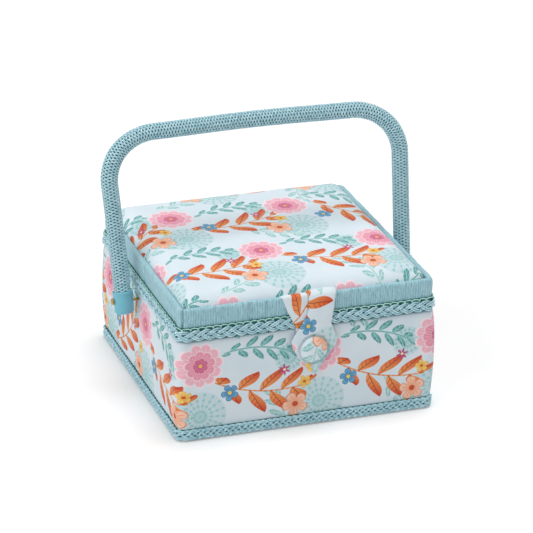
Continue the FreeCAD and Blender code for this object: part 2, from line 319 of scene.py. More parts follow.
flower.links.new(mask, end.inputs["Mask"])

# Leafy spray: a bowed stem with pairs of pointed leaves that grow smaller to both ends, finely barred.
leaf_slant = -0.85
bar_spacing = 1.5
spray, given, end = new_group(
    "printed_spray",
    {"Local": "Vector", "Length": "Float", "Pitch": "Float", "Leaf": "Float", "Half": "Float", "Bow": "Float",
     "Light": "Color", "Dark": "Color", "Rib": "Color"},
    {"Colour": "Color", "Mask": "Float"},
)
at = add(spray, "SeparateXYZ", {0: given["Local"]}).node.outputs
along = maths(spray, "DIVIDE", at["X"], given["Length"])
arched = maths(spray, "MULTIPLY", along, along)
height = maths(spray, "MULTIPLY_ADD", arched, given["Bow"], at["Y"])
off = maths(spray, "ABSOLUTE", height)
below = maths(spray, "LESS_THAN", height, 0.0)
half_pitch = maths(spray, "MULTIPLY", given["Pitch"], 0.5)
stagger = maths(spray, "MULTIPLY_ADD", below, half_pitch, at["X"])
sheared = maths(spray, "MULTIPLY_ADD", off, leaf_slant, stagger)
wrapped = maths(spray, "PINGPONG", sheared, half_pitch)
rounding = maths(spray, "ADD", sheared, half_pitch)
nearest = maths(spray, "SNAP", rounding, given["Pitch"])
lag = maths(spray, "MULTIPLY", below, half_pitch)
root = maths(spray, "SUBTRACT", nearest, lag)
root_share = maths(spray, "DIVIDE", root, given["Length"])
root_square = maths(spray, "MULTIPLY", root_share, root_share)
taper = maths(spray, "MULTIPLY_ADD", root_square, -3.0, 1.0)
leaf_size = maths(spray, "MULTIPLY", taper, given["Leaf"])
leaf_run = maths(spray, "DIVIDE", off, leaf_size)
leaf_back = maths(spray, "SUBTRACT", 1.0, leaf_run)
lens = maths(spray, "MULTIPLY", leaf_run, leaf_back)
widest = maths(spray, "MULTIPLY", given["Half"], 4.0)
leaf_half = maths(spray, "MULTIPLY", lens, widest)
leaf_edge = maths(spray, "SUBTRACT", leaf_half, wrapped)
leaf_mask = ramp(spray, leaf_edge, -0.2, 0.3)
alive = maths(spray, "GREATER_THAN", taper, 0.22)
leaves = maths(spray, "MULTIPLY", leaf_mask, alive)
stem_line = ramp(spray, off, 0.75, 0.4)
stem_end = maths(spray, "LESS_THAN", arched, 0.25)
stem = maths(spray, "MULTIPLY", stem_line, stem_end)
both = maths(spray, "MAXIMUM", leaves, stem)
outer_half = ramp(spray, leaf_run, 0.25, 0.85)
toned = mix(spray, outer_half, given["Light"], given["Dark"])
barred = maths(spray, "MULTIPLY_ADD", wrapped, -0.8, off)
bars = maths(spray, "PINGPONG", barred, bar_spacing)
bar = ramp(spray, bars, 0.55, 0.2, 0.55)
rib = ramp(spray, wrapped, 0.5, 0.25)
lines = maths(spray, "MAXIMUM", rib, bar)
ribbed = mix(spray, lines, toned, given["Rib"])
spray.links.new(ribbed, end.inputs["Colour"])
spray.links.new(both, end.inputs["Mask"])

# Seed head: thin spokes that carry rows of round seeds, as on a wild carrot.
seed_spokes = 17.0
seed_ring = 4.6
umbel, given, end = new_group("printed_seed_head", {"Local": "Vector", "Radius": "Float"}, {"Mask": "Float"})
at = add(umbel, "SeparateXYZ", {0: given["Local"]}).node.outputs
radius = add(umbel, "VectorMath", {0: given["Local"]}, operation="LENGTH").node.outputs["Value"]
angle = maths(umbel, "ARCTAN2", at["Y"], at["X"])
spokes = maths(umbel, "MULTIPLY", angle, seed_spokes)
swing = maths(umbel, "PINGPONG", spokes, math.pi)
swung = maths(umbel, "MULTIPLY", swing, 1 / seed_spokes)
beside = maths(umbel, "MULTIPLY", swung, radius)
ringed = maths(umbel, "PINGPONG", radius, seed_ring / 2)
spot = add(umbel, "CombineXYZ", {0: beside, 1: ringed})
distance = add(umbel, "VectorMath", {0: spot}, operation="LENGTH").node.outputs["Value"]
seed = ramp(umbel, distance, 1.5, 1.0)
spoke = ramp(umbel, beside, 0.5, 0.2, 0.7)
drawn = maths(umbel, "MAXIMUM", seed, spoke)
within = maths(umbel, "SUBTRACT", given["Radius"], radius)
ball = ramp(umbel, within, -0.3, 0.6)
washed = maths(umbel, "MULTIPLY_ADD", drawn, 0.62, 0.3)
whole = maths(umbel, "MULTIPLY", washed, ball)
umbel.links.new(whole, end.inputs["Mask"])

# The print: screens laid one over the next on a pale blue ground, each at its own place in the cell.
blossoms, given, end = new_group("blossom_print", {"Point": "Vector"}, {"Colour": "Color"})
cloud = add(blossoms, "TexNoise", {"Vector": given["Point"], "Scale": 0.03, "Detail": 3.0})
ink = mix(blossoms, cloud, "#D3E5EE", "#E8F0F6")
blush = {"Petal": "#F0A3B7", "Tip": "#F5BDCA", "Vein": "#FCE8EE", "Heart": "#E27F9D"}
pink = {"Petal": "#E8839F", "Tip": "#F09FB4", "Vein": "#FAD9E2", "Heart": "#CF4F7C"}
plum = {"Petal": "#C9467A", "Tip": "#DB6B93", "Vein": "#F4B9CB", "Heart": "#F3C65B"}
peach = {"Petal": "#F6B08A", "Tip": "#FAD3BE", "Vein": "#E98A5C", "Heart": "#C9512F"}
sky = {"Petal": "#4E93BE", "Tip": "#79B4D8", "Vein": "#2E6C98", "Heart": "#F4D35E"}
sunny = {"Petal": "#F2BE4C", "Tip": "#F8DB8A", "Vein": "#DF9730", "Heart": "#D9572F"}
magenta = {"Petal": "#C2417E", "Tip": "#D668A0", "Vein": "#8E2A5B", "Heart": "#F6E3B4"}
coral = {"Light": "#F39A58", "Dark": "#DF5630", "Rib": "#A33A24"}
pine = {"Light": "#6DB3B2", "Dark": "#3F8F93", "Rib": "#A9D6D2"}
aqua = {"Light": "#A5D2D0", "Dark": "#86BFC0", "Rib": "#D9EEEE"}
seed_ink = "#9FCFD0"
round_petal = {"Core": 0.34, "Fullness": 2.4, "Point": 0.55}
pointed_petal = {"Core": 0.2, "Fullness": 1.15, "Point": 0.95}
flat_petal = {"Core": 0.74, "Fullness": 2.2, "Point": 0.55}
small_leaf = {"Pitch": 11.0, "Leaf": 10.5, "Half": 3.4}
full = 2 * math.pi
screens = [
    (umbel, (0, -42), full, {"Radius": 20.5}, {}),
    (umbel, (70, -2), full, {"Radius": 12.0}, {}),
    (spray, (47, 9), 1.6, {"Length": 56.0, "Bow": 20.0, **small_leaf}, pine),
    (spray, (20, 30), 5.0, {"Length": 50.0, "Bow": -18.0, **small_leaf}, aqua),
    (spray, (47, -27), 2.0, {"Length": 74.0, "Bow": -26.0, "Pitch": 17.0, "Leaf": 19.0, "Half": 5.8}, coral),
    (flower, (0, 0), full, {"Radius": 18.5, "Petals": 11.0, **flat_petal}, blush),
    (flower, (0, 0), full, {"Radius": 12.6, "Petals": 9.0, **flat_petal}, pink),
    (flower, (0, 0), full, {"Radius": 6.6, "Petals": 7.0, **flat_petal}, plum),
    (flower, (75, -42), full, {"Radius": 10.5, "Petals": 5.0, **round_petal}, peach),
    (flower, (23, -25), full, {"Radius": 7.0, "Petals": 5.0, **round_petal}, sky),
    (flower, (82, -24), full, {"Radius": 5.4, "Petals": 5.0, **round_petal}, sunny),
    (flower, (66, -12), full, {"Radius": 5.0, "Petals": 6.0, **pointed_petal}, magenta),
]
for motif, (shift_x, shift_y), spread, sizes, inks in screens:
    moved = add(blossoms, "VectorMath", {0: given["Point"], 1: (-shift_x, -shift_y, 0)}, operation="ADD")
    laid = add(blossoms, "Group", {"Point": moved, "Spread": spread}, node_tree=repeat)
    inked = {socket: colour(code) for socket, code in inks.items()}
    stamp = add(blossoms, "Group", {"Local": laid, **sizes, **inked}, node_tree=motif).node
    over = stamp.outputs["Colour"] if inks else seed_ink
    ink = mix(blossoms, stamp.outputs["Mask"], ink, over)
blossoms.links.new(ink, end.inputs["Colour"])


def weave(tree, cut, thread_spacing):
    """Height of a plain weave, its threads drawn coarser than life to show."""
    bands = ONE_BAND / thread_spacing
    warp = add(tree, "TexWave", {"Vector": cut, "Scale": bands}, bands_direction="X").node.outputs["Fac"]
    weft = add(tree, "TexWave", {"Vector": cut, "Scale": bands}, bands_direction="Y").node.outputs["Fac"]
    return maths(tree, "MAXIMUM", warp, weft)


def printed_cotton(name, shift):
    """Screen-printed cotton poplin: matt and faintly furry, cut from so far along the print."""
    made, tree, shader = finish_of(
        name, {"Roughness": 0.72, "Sheen Weight": 0.12, "Sheen Roughness": 0.5, "Specular IOR Level": 0.3}
    )
    cut = add(tree, "UVMap", uv_map="flat")
    moved = add(tree, "VectorMath", {0: cut, 1: (shift[0], shift[1], 0)}, operation="ADD")
    pattern = add(tree, "Group", {"Point": moved}, node_tree=blossoms)
    tree.links.new(pattern, shader.inputs["Base Color"])
    threads = add(tree, "Bump", {"Height": weave(tree, cut, 0.8), "Strength": 0.12, "Distance": 0.0003})
    slack = add(tree, "TexNoise", {"Vector": cut, "Scale": 0.06, "Detail": 2.0})
    creased = add(tree, "Bump", {"Height": slack, "Strength": 0.25, "Distance": 0.002, "Normal": threads})
    tree.links.new(creased, shader.inputs["Normal"])
    return made


wall_cotton = printed_cotton("printed_cotton", (-20, -26))
walls = piece_of("padded_walls", band(wall_profile, 62, 8, pad_wall), wall_cotton)
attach(walls, "box")
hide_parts("wall_cover", "front_wadding", "back_wadding", "left_wadding", "right_wadding")


# Base cloth: a square of aqua cotton glued under the base to hide the turned-in edges of the cover.
def plain_cloth(name, light, dark, roughness, sheen, thread_spacing):
    """One-colour woven cloth, a little uneven in its dye."""
    made, tree, shader = finish_of(name, {
        "Roughness": roughness, "Sheen Weight": sheen, "Sheen Roughness": 0.4, "Specular IOR Level": 0.35
    })
    cut = add(tree, "UVMap", uv_map="flat")
    woven = weave(tree, cut, thread_spacing)
    cloud = add(tree, "TexNoise", {"Vector": cut, "Scale": 0.05, "Detail": 3.0})
    share = maths(tree, "MULTIPLY_ADD", woven, 0.35, cloud, use_clamp=True)
    tree.links.new(mix(tree, share, dark, light), shader.inputs["Base Color"])
    roughen(tree, shader, woven, 0.2, 0.0003)
    return made


def cushion(size, plan_corner, base, skirt, shoulder, crown, cells, soft, steepest=math.pi / 2):
    """Crowned square pad, closed underneath. Its shoulders bend down to their steepest angle over a skirt."""
    flat_part = size - shoulder * math.sin(steepest)
    bend = shoulder * steepest
    fall = shoulder * (1 - math.cos(steepest))
    reach = flat_part + bend + skirt
    bm = bmesh.new()
    bmesh.ops.create_grid(bm, x_segments=cells, y_segments=cells, size=reach)
    lay_flat(bm, lambda vert: vert.co.xy)

    def folded(run):
        """Distance from the middle and drop of a point so far along the cloth."""
        over = abs(run) - flat_part
        if over <= 0:
            return run, 0.0
        lean = min(over / shoulder, steepest)
        away = flat_part + shoulder * math.sin(lean)
        return math.copysign(away, run), shoulder * (1 - math.cos(lean)) + max(over - bend, 0)

    for vert in bm.verts:
        x, drop_x = folded(vert.co.x)
        y, drop_y = folded(vert.co.y)
        drop = (drop_x ** 3 + drop_y ** 3) ** (1 / 3)
        rise = crown * (1 - (x / size) ** 2) * (1 - (y / size) ** 2)
        rise += soft * noise.noise(Vector((x / 30, y / 30, 3.1)))
        over_x = abs(x) - (size - plan_corner)
        over_y = abs(y) - (size - plan_corner)
        if over_x > 0 and over_y > 0:
            pull = max(over_x, over_y) / math.hypot(over_x, over_y)
            x = math.copysign(size - plan_corner + over_x * pull, x)
            y = math.copysign(size - plan_corner + over_y * pull, y)
        pucker = noise.noise(Vector((x / 6, y / 6, 5.3))) * min(drop / fall, 1.0)
        spread = 1 + soft * 0.6 * pucker / size
        z = max(base + skirt + fall + rise - drop, base)
        vert.co = (x * spread, y * spread, z)
    bmesh.ops.remove_doubles(bm, verts=bm.verts, dist=0.001)
    rim = [edge for edge in bm.edges if edge.is_boundary]
    underside = bmesh.ops.edgeloop_fill(bm, edges=rim)["faces"]
    margin = bmesh.ops.inset_individual(bm, faces=underside, thickness=1.5)["faces"]
    lay_flat(bm, lambda vert: vert.co.xy, underside + margin)
    bmesh.ops.recalc_face_normals(bm, faces=bm.faces)
    return bm


base_cotton = plain_cloth("woven_base_cotton", "#B4D3D6", "#93B9BE", 0.85, 0.1, 1.0)
square = cushion(99.6, plan_corner=6.6, base=0.0, skirt=0.1, shoulder=0.5, crown=0.0, cells=40, soft=0.0)
base_cloth = piece_of("base_cloth_square", square, base_cotton)
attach(base_cloth, "box")
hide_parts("base_cloth")


# Wall lining: pale satin drawn tight over the inside of the walls and glued along the top edge.
satin = plain_cloth("satin_lining", "#BFE0E4", "#9CC9CF", 0.42, 0.25, 1.1)
lining_profile = [(-6.05, 3.4), (-6.05, 80.6), (-6.25, 80.9), (-6.6, 80.6), (-6.6, 60.0), (-6.6, 40.0),
                  (-6.6, 20.0), (-6.6, 3.4)]
lining = piece_of("satin_wall_lining", band(lining_profile, 40, 4), satin)
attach(lining, "box")
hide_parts("wall_lining")


# Floor pad: a satin-covered square of thin wadding that drops loose into the bottom of the box.
pad = cushion(93.0, plan_corner=3.0, base=3.6, skirt=0.5, shoulder=1.6, crown=1.2, cells=60, soft=0.3)
floor_pad = piece_of("satin_floor_pad", pad, satin)
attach(floor_pad, "box")
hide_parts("floor_pad")


# Base braid: a flat plait of five shiny rayon cords, glued round the foot of the walls. A dark sheet
# behind the strands is painted shade: it shows dark in the gaps, where shade falls between the strands.
cord_flatten = 0.7
braid_out = 1.9
points_per_repeat = 36


def strands(lines, thickness, closed, sides=6):
    """Mesh of round cords along lines of points in a flat layout, and the places of its vertices."""
    curve = bpy.data.curves.new("cords", "CURVE")
    curve.dimensions = "3D"
    curve.bevel_depth = thickness
    curve.use_fill_caps = not closed
    curve.bevel_resolution = (sides - 4) // 2
    for line in lines:
        spline = curve.splines.new("POLY")
        spline.points.add(len(line) - 1)
        spline.points.foreach_set("co", np.column_stack([line, np.ones(len(line))]).ravel())
        spline.use_cyclic_u = closed
    holder = bpy.data.objects.new("cords", curve)
    mesh = bpy.data.meshes.new_from_object(holder)
    bpy.data.objects.remove(holder)
    bpy.data.curves.remove(curve)
    spots = np.empty(len(mesh.vertices) * 3)
    mesh.vertices.foreach_get("co", spots)
    return mesh, spots.reshape(-1, 3)


def strand_piece(name, mesh, spots, material):
    """Object at the origin from a mesh of cords and its points in millimetres."""
    mesh.name = name
    mesh.vertices.foreach_set("co", (spots * MM).ravel())
    mesh.materials.append(material)
    mesh.shade_smooth()
    mesh.update()
    made = bpy.data.objects.new(name, mesh)
    bpy.context.scene.collection.objects.link(made)
    return made


def plait(strand_count, repeats, width, depth, yarn, places, height):
    """Flat plait run once round the box. Each strand is of yarns laid side by side at these places."""
    points = repeats * points_per_repeat
    phase = np.linspace(0, 2 * math.pi * repeats, points, endpoint=False)
    along = np.linspace(0, girth, points, endpoint=False)
    lines = []
    for strand in range(strand_count):
        swing = phase + 2 * math.pi * strand / strand_count
        side = width * np.sin(swing)
        over = depth * np.sin((strand_count - 1) * swing)
        heading = np.arctan(width * np.cos(swing) * 2 * math.pi * repeats / girth)
        for place in places:
            lines.append(np.column_stack([
                along - place * np.sin(heading), side + place * np.cos(heading), over / cord_flatten
            ]))
    mesh, spots = strands(lines, yarn, True)
    x, y = around(np.mod(spots[:, 0], girth), braid_out + spots[:, 2] * cord_flatten)
    return mesh, np.column_stack([x, y, height + spots[:, 1]])


def rayon_cord(name, dark, light):
    """Smooth rayon filament with a silky shine, unevenly dyed along the yarn."""
    made, tree, shader = finish_of(
        name, {"Roughness": 0.34, "Sheen Weight": 0.15, "Sheen Roughness": 0.35, "Specular IOR Level": 0.6}
    )
    place = add(tree, "TexCoord").node.outputs["Object"]
    dye = add(tree, "TexNoise", {"Vector": place, "Scale": 520.0, "Detail": 3.0})
    dyed = mix(tree, ramp(tree, dye, 0.32, 0.68), dark, light)
    tree.links.new(dyed, shader.inputs["Base Color"])
    fluff = add(tree, "TexNoise", {"Vector": place, "Scale": 1500.0, "Detail": 2.0})
    roughen(tree, shader, fluff, 0.35, 0.0003)
    return made


braid_rayon = rayon_cord("rayon_braid_yarn", "#8CC1D0", "#CBEEF6")
# Painted shade: this dark cloth sits behind the braids so that their gaps show the shade between the strands.
painted_shade_sheet = plain_cloth("painted_shade_backing", "#3F7C7A", "#285F60", 0.9, 0.05, 0.9)


def shade_sheet_section(low, high):
    """Cross-section of the dark sheet behind a braid, painted shade in its gaps."""
    return [(0.2, low), (0.2, high), (0.9, high), (0.9, low)]


# Painted shade: the dark sheet behind the base braid, seen in its gaps.
base_shade_sheet = piece_of("base_braid_shade_sheet", band(shade_sheet_section(1.2, 9.5), 30, 6), painted_shade_sheet)
mesh, spots = plait(5, repeats=32, width=3.3, depth=0.62, yarn=1.04, places=(0.0,), height=5.3)
base_braid = strand_piece("base_braid_plait", mesh, spots, braid_rayon)
for made in (base_shade_sheet, base_braid):
    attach(made, "box")
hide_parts("base_braid")


# Hinge cloth: a strip of aqua cotton glued across the back, half on the wall and half on the lid.
hinge_half = 85.0
hinge_low = 72.0
hinge_high = 90.0
hinge_clearance = 0.4
lid_clearance = 0.35
inward_slope = 0.7
bm = bmesh.new()
bmesh.ops.create_grid(bm, x_segments=60, y_segments=16, size=1.0)
for vert in bm.verts:
    x = vert.co.x * hinge_half
    z = hinge_low + (vert.co.y + 1) / 2 * (hinge_high - hinge_low)
    lift = swell(min(z, seam_height)) * 1.05 + hinge_clearance
    if z > seam_height:
        lift = max(lid_clearance, lift - (z - seam_height) * inward_slope)
    vert.co = (x, half + lift, z)
lay_flat(bm, lambda vert: vert.co.xz)
bmesh.ops.recalc_face_normals(bm, faces=bm.faces)
bmesh.ops.solidify(bm, geom=bm.faces[:], thickness=0.35)
hinge_cloth = piece_of("hinge_cloth_strip", bm, base_cotton)
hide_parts("hinge_cloth")
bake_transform(hinge_cloth)


# Lid ribbon: a ribbed grosgrain ribbon folded over the rim of the lid, glued down outside and in.
# The shade in the crease where its ends lap near the front left corner is painted on as a dark line.
ribbon_profile = [(-3.6, 81.2), (0.0, 81.2), (0.05, 85.0), (0.15, 90.0), (0.35, 94.0), (0.55, 98.0),
                  (0.7, 101.0), (0.7, 103.6), (0.5, 105.1), (0.05, 106.0), (-0.6, 106.5), (-1.4, 106.6),
                  (-2.4, 106.55), (-3.2, 106.35), (-3.75, 105.9), (-3.9, 105.0), (-3.9, 102.6),
                  (-3.65, 102.3), (-3.6, 95.0)]
ribbon_wave = 0.35
pinch_depth = 6.0
deepest_pinch = -0.4
fold_ripple = 0.25
fold_height = 105.5
freest_height = 101.0
pinch_rarity = 0.25


def crease_ribbon(along, out, height):
    """Ribbon that waves a little between its glued edges, with a few sharper pinches."""
    free = math.exp(-((height - freest_height) / 8) ** 2)
    pinch = max(0.0, noise.noise(Vector((along / 4.5, height / 60, 2.7))) - pinch_rarity)
    wave = noise.noise(Vector((along / 16, height / 40, 4.4)))
    wave += 0.5 * noise.noise(Vector((along / 4, 0, 9.1)))
    if out > -0.3:
        out = max(out + (ribbon_wave * wave - pinch_depth * pinch) * free, deepest_pinch)
    if height > fold_height:
        height += fold_ripple * (wave + 0.6)
    return out, height


grosgrain, tree, shader = finish_of(
    "grosgrain_ribbon", {"Roughness": 0.6, "Sheen Weight": 0.25, "Sheen Roughness": 0.4}
)
cut = add(tree, "UVMap", uv_map="flat")
rib_spacing = 1.9
ribs = add(tree, "TexWave", {"Vector": cut, "Scale": ONE_BAND / rib_spacing, "Distortion": 5.0, "Detail": 3.0,
                             "Detail Scale": 0.5}, bands_direction="X").node.outputs["Fac"]
streak = add(tree, "Mapping", {"Vector": cut, "Scale": (0.75, 0.16, 1.0)})
dye = add(tree, "TexNoise", {"Vector": streak, "Scale": 1.0, "Detail": 4.0, "Roughness": 0.7})
uneven = ramp(tree, dye, 0.3, 0.7)
share = maths(tree, "MULTIPLY_ADD", ribs, 0.3, maths(tree, "MULTIPLY", uneven, 0.8), use_clamp=True)
dyed = mix(tree, share, "#6EAAB9", "#BFE6F0")
# Painted shade: a dark line across the ribbon at the lap, for the shade in the crease there.
lap_run = quarter - 3.0
lap_shade_half = 0.7
run = add(tree, "SeparateXYZ", {0: cut})
lap_shade_mask = maths(tree, "COMPARE", run, lap_run, lap_shade_half)
lap_shaded = mix(tree, maths(tree, "MULTIPLY", lap_shade_mask, uneven), dyed, "#35656E")
tree.links.new(lap_shaded, shader.inputs["Base Color"])
roughen(tree, shader, maths(tree, "ADD", ribs, uneven), 0.55, 0.0006)

ribbon = piece_of("lid_rim_ribbon", band(ribbon_profile, 200, 8, crease_ribbon), grosgrain)
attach(ribbon, "lid")
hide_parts("lid_ribbon")


# Lid braid: a plait of three strands, each of two rayon yarns, edged with a row of small mint yarn loops
# and glued round the lid's lower edge, with a dark sheet behind it as painted shade in its gaps.
# Painted shade: the dark sheet behind the lid braid and its loops, seen in their gaps.
lid_shade_sheet = piece_of("lid_braid_shade_sheet", band(shade_sheet_section(81.6, 92.4), 30, 6), painted_shade_sheet)
mesh, spots = plait(3, repeats=32, width=3.1, depth=0.9, yarn=0.7, places=(-0.76, 0.76), height=86.1)
lid_rayon = rayon_cord("rayon_lid_braid_yarn", "#94CBDA", "#D8F5FC")
lid_braid = strand_piece("lid_braid_plait", mesh, spots, lid_rayon)

loop_pitch = 5.8
loop_height = 91.2
loop_out = 1.4
loop_yarn = 0.42
loop_swing = 1.5
loop_rise = 0.9
loop_twist = 0.3
points_per_loop = 14
loop_count = round(girth / loop_pitch)
turn = np.linspace(0, 2 * math.pi * loop_count, loop_count * points_per_loop, endpoint=False)
run = np.linspace(0, girth, len(turn), endpoint=False)
edging = np.column_stack([
    run + loop_swing * np.sin(turn), loop_height + loop_rise * np.cos(turn), loop_twist * np.sin(turn)
])
mesh, spots = strands([edging], loop_yarn, True)
x, y = around(np.mod(spots[:, 0], girth), loop_out + spots[:, 2])
edging_rayon = rayon_cord("rayon_edging_yarn", "#95D1C8", "#CDF2E9")
lid_loops = strand_piece("lid_braid_edge_loops", mesh, np.column_stack([x, y, spots[:, 1]]), edging_rayon)
for made in (lid_shade_sheet, lid_braid, lid_loops):
    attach(made, "lid")
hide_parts("lid_braid")


# Padded top: printed cotton drawn over a thick square of wadding and tucked down behind the ribbon.
top_cotton = printed_cotton("printed_cotton_top", (14, -9))
pad = cushion(95.9, plan_corner=8.0, base=99.8, skirt=4.6, shoulder=16.5, crown=1.3, cells=110, soft=0.45,
              steepest=math.radians(70))
padded_top = piece_of("padded_lid_top", pad, top_cotton)
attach(padded_top, "lid")
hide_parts("lid_cover", "lid_wadding")


# Lid lining: a satin strip inside the rim, and a satin panel on thin wadding under the lid's board.
rim_profile = [(-3.65, 81.1), (-3.65, 99.2), (-4.2, 99.2), (-4.2, 90.0), (-4.2, 81.4), (-3.9, 81.0)]
rim_lining = piece_of("satin_rim_lining", band(rim_profile, 40, 4), satin)
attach(rim_lining, "lid")
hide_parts("lid_rim_lining")

bm = cushion(95.3, plan_corner=2.6, base=-99.5, skirt=0.4, shoulder=1.4, crown=0.8, cells=60, soft=0.3)
bmesh.ops.scale(bm, vec=(1, 1, -1), verts=bm.verts)
bmesh.ops.recalc_face_normals(bm, faces=bm.faces)
lid_panel = piece_of("satin_lid_panel", bm, satin)
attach(lid_panel, "lid")
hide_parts("lid_lining")


# Button: a covered button, a domed tin shell in printed cotton, sewn to the front wall on a shank.
button_x = 3.0
button_z = 64.5
button_back = -105.6
button_profile = [(0.0, 5.3), (2.6, 5.2), (5.2, 4.8), (7.4, 4.0), (9.0, 2.9), (10.0, 1.7), (10.35, 0.7),
                  (10.1, 0.05), (9.2, -0.1), (0.0, -0.1)]


def turned(profile, steps):
    """Solid turned about Z from a profile of (radius, height) points that starts and ends on the axis."""
    bm = bmesh.new()
    row = [bm.verts.new((r, 0, h)) for r, h in profile]
    line = [bm.edges.new(pair) for pair in zip(row, row[1:])]
    bmesh.ops.spin(bm, geom=row + line, cent=(0, 0, 0), axis=(0, 0, 1), angle=2 * math.pi, steps=steps,
                   use_merge=True)
    bmesh.ops.remove_doubles(bm, verts=bm.verts, dist=0.001)
    bmesh.ops.recalc_face_normals(bm, faces=bm.faces)
    return bm


bm = turned(button_profile, 48)
lay_flat(bm, lambda vert: vert.co.xy)
for vert in bm.verts:
    vert.co *= 1 + 0.012 * noise.noise(vert.co / 4)
bmesh.ops.rotate(bm, verts=bm.verts, cent=(0, 0, 0), matrix=Matrix.Rotation(math.pi / 2, 3, "X"))
bmesh.ops.translate(bm, verts=bm.verts, vec=(button_x, button_back, button_z))
button_cotton = printed_cotton("printed_cotton_button", (67, 68))
button = piece_of("covered_button", bm, button_cotton)
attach(button, "box")
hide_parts("button_cover")


# Button loop: a printed cotton strip folded double and mitred to a point, its two ends side by side.
# The ends are tucked behind the ribbon, and the right one lies over the left at the waist.
drape = [(-95.7, 103.0), (-95.8, 106.0), (-96.6, 107.6), (-98.2, 108.2), (-100.2, 108.0), (-101.6, 107.0),
         (-102.2, 104.5), (-102.7, 100.0), (-103.6, 95.0), (-104.2, 91.0), (-104.3, 84.0), (-104.2, 70.0),
         (-104.1, 42.2)]
right_strip = {"heights": [42.2, 60.0, 66.5, 72.0, 76.0, 84.0, 96.0, 110.0],
               "left": [3.1, -9.2, -13.6, -14.6, -12.8, -7.6, -1.2, -0.8],
               "right": [3.3, 15.6, 20.8, 21.6, 19.4, 16.4, 18.6, 20.9]}
left_strip = {"heights": [74.0, 84.0, 96.0, 110.0],
              "left": [-9.8, -11.0, -17.2, -21.8],
              "right": [13.0, 12.0, 4.0, 1.6]}
loop_puff = 0.7
mitre_top = 56.0
mitre_depth = 0.9
button_rim = 11.0
button_dent = 1.9
dent_top = 80.0
loop_slack = 0.5


def strip(outline, rows, columns, depth, lowest, cut):
    """One end of the loop: a puffed double strip hung along the drape, so far in front of it.

    cut is the place in the print that it was cut from.
    """
    line = np.array(drape)
    steps = np.concatenate([[0], np.cumsum(np.hypot(*np.diff(line, axis=0).T))])
    crest, edge, hang = steps[[2, 5, 6]]
    last = np.interp(-lowest, -line[6:, 1], steps[6:])
    bm = bmesh.new()
    bmesh.ops.create_grid(bm, x_segments=columns, y_segments=rows, size=0.5)
    for vert in bm.verts:
        run = (0.5 - vert.co.y) * last
        across = vert.co.x + 0.5
        y = np.interp(run, steps, line[:, 0])
        z = np.interp(run, steps, line[:, 1])
        look_up = outline["heights"][-1] if run < edge else z
        left = np.interp(look_up, outline["heights"], outline["left"])
        right = np.interp(look_up, outline["heights"], outline["right"])
        x = left + (right - left) * across
        puff = depth + loop_puff * (1 - (2 * across - 1) ** 4)
        if z < mitre_top:
            mitre = math.exp(-((x - button_x) / 0.9) ** 2)
            puff -= mitre_depth * mitre * min((mitre_top - z) / 3, 1.0)
        if z < dent_top:
            beside_button = math.hypot(x - button_x, z - button_z) - button_rim
            puff -= button_dent * math.exp(-(beside_button / 1.1) ** 2)
        puff += loop_slack * noise.noise(Vector((x / 7, z / 9, 2.2)))
        lift = 1.0 if run > hang else max(run - crest, 0.0) / (hang - crest)
        vert.co = (x, y - puff * lift, z + puff * (1 - lift))
    lay_flat(bm, lambda vert: (vert.co.z + cut[0], cut[1] - vert.co.x))
    bmesh.ops.recalc_face_normals(bm, faces=bm.faces)
    bmesh.ops.solidify(bm, geom=bm.faces[:], thickness=1.0)
    bmesh.ops.recalc_face_normals(bm, faces=bm.faces)
    return bm


loop_cotton = printed_cotton("printed_cotton_loop", (-14, 13))
tab = strip(right_strip, rows=80, columns=36, depth=1.3, lowest=42.2, cut=(0, 0))
right_end = piece_of("button_loop_right", tab, loop_cotton)
tab = strip(left_strip, rows=44, columns=16, depth=-0.9, lowest=76.0, cut=(16, -8))
left_end = piece_of("button_loop_left", tab, loop_cotton)
for made, size, area in ((right_end, (0.036, 0.077), 0.00185), (left_end, (0.025, 0.045), 0.00092)):
    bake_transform(made)
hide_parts("button_loop")


# Handle: a plastic bow in a tubular rayon braid of seven cords each way, its ends in moulded ferrules.
pivot_x = 114.0
pivot_height = 74.6
handle_height = 129.5
handle_lean = math.radians(13.0)
leg_splay = math.radians(2.0)
bend_radius = 38.5
leg_length = (handle_height - bend_radius * (1 + math.sin(leg_splay))) / math.cos(leg_splay)
sleeve_start = 4.6
bend_angle = math.pi / 2 + leg_splay
bend_length = bend_radius * bend_angle
knee_x = pivot_x + leg_length * math.sin(leg_splay)
bar_half = knee_x - bend_radius * math.cos(leg_splay)
half_length = leg_length - sleeve_start + bend_length + bar_half
handle_sag = 1.2
end_droop = 5.3
handle_sway = 2.2


def along_handle(run, angle, radius):
    """Points round the handle's axis: run is measured from the middle of the grip, to the right."""
    side = np.sign(run)
    run = np.abs(run)
    bend = np.clip((run - bar_half) / bend_radius, 0, bend_angle)
    down = np.maximum(run - bar_half - bend_length, 0)
    x = np.minimum(run, bar_half) + bend_radius * np.sin(bend) - down * math.sin(leg_splay)
    z = handle_height - bend_radius * (1 - np.cos(bend)) - down * math.cos(leg_splay)
    outward = radius * np.cos(angle)
    x = side * (x + outward * np.sin(bend))
    z = z + outward * np.cos(bend)
    rise = np.clip(z / handle_height, 0, 1) ** 2
    share = np.clip(np.abs(x) / knee_x, 0, 1) ** 2
    z = z - rise * (handle_sag + end_droop * share * (1 - share))
    x = x - rise * handle_sway * (1 - x / knee_x) / 2
    y = radius * np.sin(angle)
    return np.column_stack([
        x,
        y * math.cos(handle_lean) + z * math.sin(handle_lean),
        pivot_height - y * math.sin(handle_lean) + z * math.cos(handle_lean),
    ])


